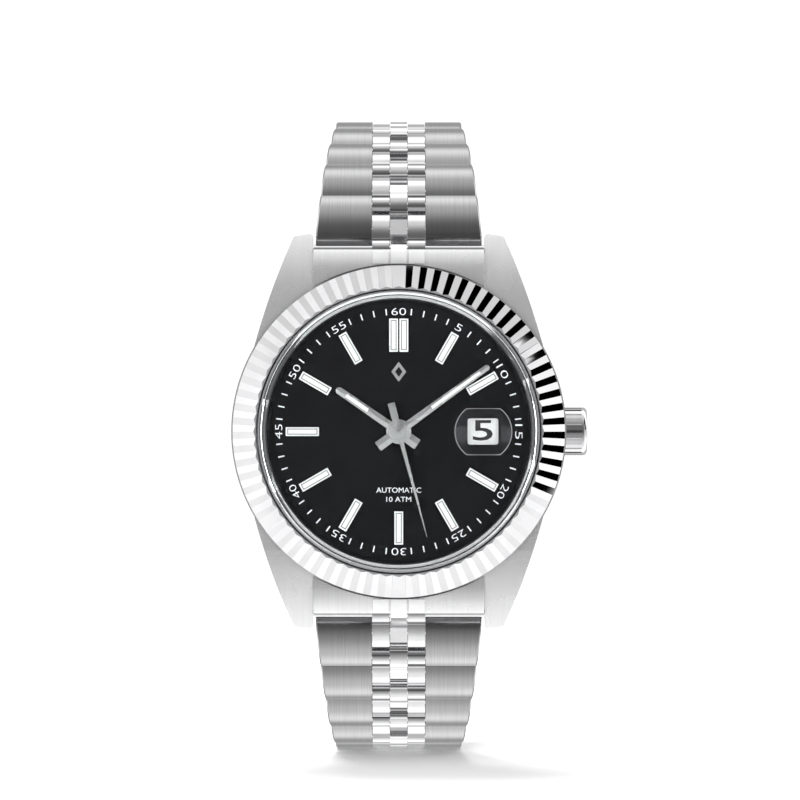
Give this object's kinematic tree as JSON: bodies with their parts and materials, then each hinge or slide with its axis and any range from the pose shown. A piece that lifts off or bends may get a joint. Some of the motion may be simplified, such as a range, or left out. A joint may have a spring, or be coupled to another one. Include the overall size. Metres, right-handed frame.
{
  "type": "wristwatch",
  "caption": "Round steel wristwatch with fluted bezel, black dial with bar markers, date magnifier, crown, five-piece-link bracelet and folding clasp.",
  "frame": {"origin": "centre of the case back's flat outer face", "axes": "+Y out of the case back towards the wrist, so the dial faces -Y; +Z towards twelve o'clock; +X towards the crown at three o'clock"},
  "size_m": [0.0429, 0.0621, 0.0788],
  "materials": {
    "satin_steel": "fine straight brushing",
    "polished_steel": "mirror polish",
    "sapphire": "clear polished sapphire",
    "gasket_rubber": "matt black",
    "dial_black": "black lacquer",
    "date_white": "matt white",
    "white_metal": "rhodium plate, faceted",
    "plated_movement": "rhodium plate, fine graining",
    "gilt_brass": "gilt"
  },
  "bodies": {
    "case": {"case_middle": "satin_steel", "fluted_bezel": "polished_steel", "crystal": "sapphire", "date_magnifier": "sapphire", "crystal_gasket": "gasket_rubber", "dial_flange": "polished_steel", "dial": "dial_black", "hour_markers": "white_metal", "dial_emblem": "white_metal", "movement_ring": "plated_movement", "case_back": "polished_steel", "case_back_gasket": "gasket_rubber", "crown_tube": "polished_steel", "end_link_12": "satin_steel", "end_link_6": "satin_steel", "lug_spring_bars": "polished_steel", "mainplate": "plated_movement", "movement_bridge": "plated_movement", "balance_cock": "plated_movement", "date_plate": "plated_movement", "movement_screws": "plated_movement"},
    "crown_seal": {"crown_seal": "gasket_rubber"},
    "crown": {"crown": "polished_steel", "winding_stem": "polished_steel"},
    "minute_train": {"centre_wheel": "gilt_brass", "minute_hand": "white_metal"},
    "hour_train": {"hour_hand": "white_metal"},
    "seconds_train": {"fourth_wheel": "gilt_brass", "seconds_hand": "white_metal"},
    "third_train": {"third_wheel": "gilt_brass"},
    "barrel": {"barrel": "gilt_brass"},
    "escape_train": {"escape_wheel": "gilt_brass"},
    "balance": {"balance_wheel": "gilt_brass"},
    "pallet": {"pallet_fork": "gilt_brass"},
    "date": {"date_disc": "date_white"},
    "rotor": {"rotor": "plated_movement"},
    "upper_link_01": {"upper_link_01": "satin_steel"},
    "upper_link_02": {"upper_link_02": "satin_steel"},
    "upper_link_03": {"upper_link_03": "satin_steel"},
    "upper_link_04": {"upper_link_04": "satin_steel"},
    "upper_link_05": {"upper_link_05": "satin_steel"},
    "upper_link_06": {"upper_link_06": "satin_steel"},
    "upper_link_07": {"upper_link_07": "satin_steel"},
    "upper_link_08": {"upper_link_08": "satin_steel"},
    "upper_link_09": {"upper_link_09": "satin_steel"},
    "upper_link_10": {"upper_link_10": "satin_steel"},
    "lower_link_01": {"lower_link_01": "satin_steel"},
    "lower_link_02": {"lower_link_02": "satin_steel"},
    "lower_link_03": {"lower_link_03": "satin_steel"},
    "lower_link_04": {"lower_link_04": "satin_steel"},
    "lower_link_05": {"lower_link_05": "satin_steel"},
    "lower_link_06": {"lower_link_06": "satin_steel"},
    "lower_link_07": {"lower_link_07": "satin_steel"},
    "lower_link_08": {"lower_link_08": "satin_steel"},
    "lower_link_09": {"lower_link_09": "satin_steel"},
    "lower_link_10": {"lower_link_10": "satin_steel"},
    "clasp_cover": {"clasp_cover": "satin_steel"},
    "clasp_outer_blade": {"clasp_outer_blade": "satin_steel"},
    "clasp_inner_blade": {"clasp_inner_blade": "satin_steel"},
    "safety_catch": {"safety_catch": "satin_steel"}
  },
  "joints": [
    {"name": "upper_link_01_hinge", "type": "hinge", "parent": "case", "child": "upper_link_01", "pos_m": [0, -0.0033, 0.022], "axis": [1, 0, 0], "range_deg": [0, 16]},
    {"name": "upper_link_02_hinge", "type": "hinge", "parent": "upper_link_01", "child": "upper_link_02", "pos_m": [0, -0.00029, 0.02742], "axis": [1, 0, 0], "range_deg": [0, 19]},
    {"name": "upper_link_03_hinge", "type": "hinge", "parent": "upper_link_02", "child": "upper_link_03", "pos_m": [0, 0.00431, 0.03157], "axis": [1, 0, 0], "range_deg": [0, 14]},
    {"name": "upper_link_04_hinge", "type": "hinge", "parent": "upper_link_03", "child": "upper_link_04", "pos_m": [0, 0.00979, 0.03448], "axis": [1, 0, 0], "range_deg": [0, 8]},
    {"name": "upper_link_05_hinge", "type": "hinge", "parent": "upper_link_04", "child": "upper_link_05", "pos_m": [0, 0.01561, 0.0366], "axis": [1, 0, 0], "range_deg": [0, 12]},
    {"name": "upper_link_06_hinge", "type": "hinge", "parent": "upper_link_05", "child": "upper_link_06", "pos_m": [0, 0.02175, 0.03747], "axis": [1, 0, 0], "range_deg": [0, 16]},
    {"name": "upper_link_07_hinge", "type": "hinge", "parent": "upper_link_06", "child": "upper_link_07", "pos_m": [0, 0.02789, 0.0366], "axis": [1, 0, 0], "range_deg": [0, 16]},
    {"name": "upper_link_08_hinge", "type": "hinge", "parent": "upper_link_07", "child": "upper_link_08", "pos_m": [0, 0.03356, 0.03408], "axis": [1, 0, 0], "range_deg": [0, 17]},
    {"name": "upper_link_09_hinge", "type": "hinge", "parent": "upper_link_08", "child": "upper_link_09", "pos_m": [0, 0.03824, 0.03001], "axis": [1, 0, 0], "range_deg": [0, 15]},
    {"name": "upper_link_10_hinge", "type": "hinge", "parent": "upper_link_09", "child": "upper_link_10", "pos_m": [0, 0.0417, 0.02487], "axis": [1, 0, 0], "range_deg": [0, 14]},
    {"name": "lower_link_01_hinge", "type": "hinge", "parent": "case", "child": "lower_link_01", "pos_m": [0, -0.0033, -0.022], "axis": [-1, 0, 0], "range_deg": [0, 16]},
    {"name": "lower_link_02_hinge", "type": "hinge", "parent": "lower_link_01", "child": "lower_link_02", "pos_m": [0, -0.0002, -0.02737], "axis": [-1, 0, 0], "range_deg": [0, 14]},
    {"name": "lower_link_03_hinge", "type": "hinge", "parent": "lower_link_02", "child": "lower_link_03", "pos_m": [0, 0.00411, -0.03183], "axis": [-1, 0, 0], "range_deg": [0, 10]},
    {"name": "lower_link_04_hinge", "type": "hinge", "parent": "lower_link_03", "child": "lower_link_04", "pos_m": [0, 0.00912, -0.03547], "axis": [-1, 0, 0], "range_deg": [0, 13]},
    {"name": "lower_link_05_hinge", "type": "hinge", "parent": "lower_link_04", "child": "lower_link_05", "pos_m": [0, 0.01483, -0.0379], "axis": [-1, 0, 0], "range_deg": [0, 16]},
    {"name": "lower_link_06_hinge", "type": "hinge", "parent": "lower_link_05", "child": "lower_link_06", "pos_m": [0, 0.02098, -0.03865], "axis": [-1, 0, 0], "range_deg": [0, 15]},
    {"name": "lower_link_07_hinge", "type": "hinge", "parent": "lower_link_06", "child": "lower_link_07", "pos_m": [0, 0.02712, -0.03779], "axis": [-1, 0, 0], "range_deg": [0, 14]},
    {"name": "lower_link_08_hinge", "type": "hinge", "parent": "lower_link_07", "child": "lower_link_08", "pos_m": [0, 0.03287, -0.03547], "axis": [-1, 0, 0], "range_deg": [0, 15]},
    {"name": "lower_link_09_hinge", "type": "hinge", "parent": "lower_link_08", "child": "lower_link_09", "pos_m": [0, 0.03782, -0.03173], "axis": [-1, 0, 0], "range_deg": [0, 16]},
    {"name": "lower_link_10_hinge", "type": "hinge", "parent": "lower_link_09", "child": "lower_link_10", "pos_m": [0, 0.04155, -0.02678], "axis": [-1, 0, 0], "range_deg": [0, 17]},
    {"name": "clasp_cover_hinge", "type": "hinge", "parent": "lower_link_10", "child": "clasp_cover", "pos_m": [0, 0.04368, -0.02096], "axis": [-1, 0, 0], "range_deg": [0, 48]},
    {"name": "clasp_outer_blade_hinge", "type": "hinge", "parent": "clasp_cover", "child": "clasp_outer_blade", "pos_m": [0, 0.04483, 0.0159], "axis": [-1, 0, 0], "range_deg": [0, 90]},
    {"name": "clasp_inner_blade_hinge", "type": "hinge", "parent": "clasp_outer_blade", "child": "clasp_inner_blade", "pos_m": [0, 0.04506, -0.01657], "axis": [1, 0, 0], "range_deg": [0, 90]},
    {"name": "safety_catch_hinge", "type": "hinge", "parent": "clasp_cover", "child": "safety_catch", "pos_m": [0, 0.04924, 0.00671], "axis": [-1, 0, 0], "range_deg": [0, 110]},
    {"name": "crown_pull", "type": "slide", "parent": "case", "child": "crown_seal", "axis": [1, 0, 0], "range_m": [0, 0.0012]},
    {"name": "crown_turn", "type": "hinge", "parent": "crown_seal", "child": "crown", "pos_m": [0.021, -0.00475, 0], "axis": [1, 0, 0], "continuous": true},
    {"name": "minute_hand_turn", "type": "hinge", "parent": "case", "child": "minute_train", "pos_m": [0, -0.005, 0], "axis": [0, 1, 0], "continuous": true},
    {"name": "hour_hand_turn", "type": "hinge", "parent": "case", "child": "hour_train", "pos_m": [0, -0.005, 0], "axis": [0, 1, 0], "continuous": true},
    {"name": "seconds_hand_turn", "type": "hinge", "parent": "case", "child": "seconds_train", "pos_m": [0, -0.005, 0], "axis": [0, 1, 0], "continuous": true},
    {"name": "third_wheel_turn", "type": "hinge", "parent": "case", "child": "third_train", "pos_m": [0.00334, -0.005, -0.00334], "axis": [0, 1, 0], "continuous": true},
    {"name": "barrel_turn", "type": "hinge", "parent": "case", "child": "barrel", "pos_m": [-0.00407, -0.005, 0.00407], "axis": [0, 1, 0], "continuous": true},
    {"name": "escape_wheel_turn", "type": "hinge", "parent": "case", "child": "escape_train", "pos_m": [-0.00332, -0.005, -0.00332], "axis": [0, 1, 0], "continuous": true},
    {"name": "balance_swing", "type": "hinge", "parent": "case", "child": "balance", "pos_m": [-0.00615, -0.005, -0.00615], "axis": [0, 1, 0], "range_deg": [-270, 270]},
    {"name": "pallet_fork_swing", "type": "hinge", "parent": "case", "child": "pallet", "pos_m": [-0.00488, -0.005, -0.00488], "axis": [0, 1, 0], "range_deg": [-4, 4]},
    {"name": "date_disc_turn", "type": "hinge", "parent": "case", "child": "date", "pos_m": [0, -0.005, 0], "axis": [0, 1, 0], "continuous": true},
    {"name": "rotor_turn", "type": "hinge", "parent": "case", "child": "rotor", "pos_m": [0, -0.005, 0], "axis": [0, 1, 0], "continuous": true}
  ],
  "couplings": [
    {"joint": "hour_hand_turn", "follows": "minute_hand_turn", "ratio": 0.083333},
    {"joint": "third_wheel_turn", "follows": "minute_hand_turn", "ratio": -8},
    {"joint": "seconds_hand_turn", "follows": "minute_hand_turn", "ratio": 60},
    {"joint": "barrel_turn", "follows": "minute_hand_turn", "ratio": -0.14286},
    {"joint": "escape_wheel_turn", "follows": "minute_hand_turn", "ratio": -720}
  ]
}
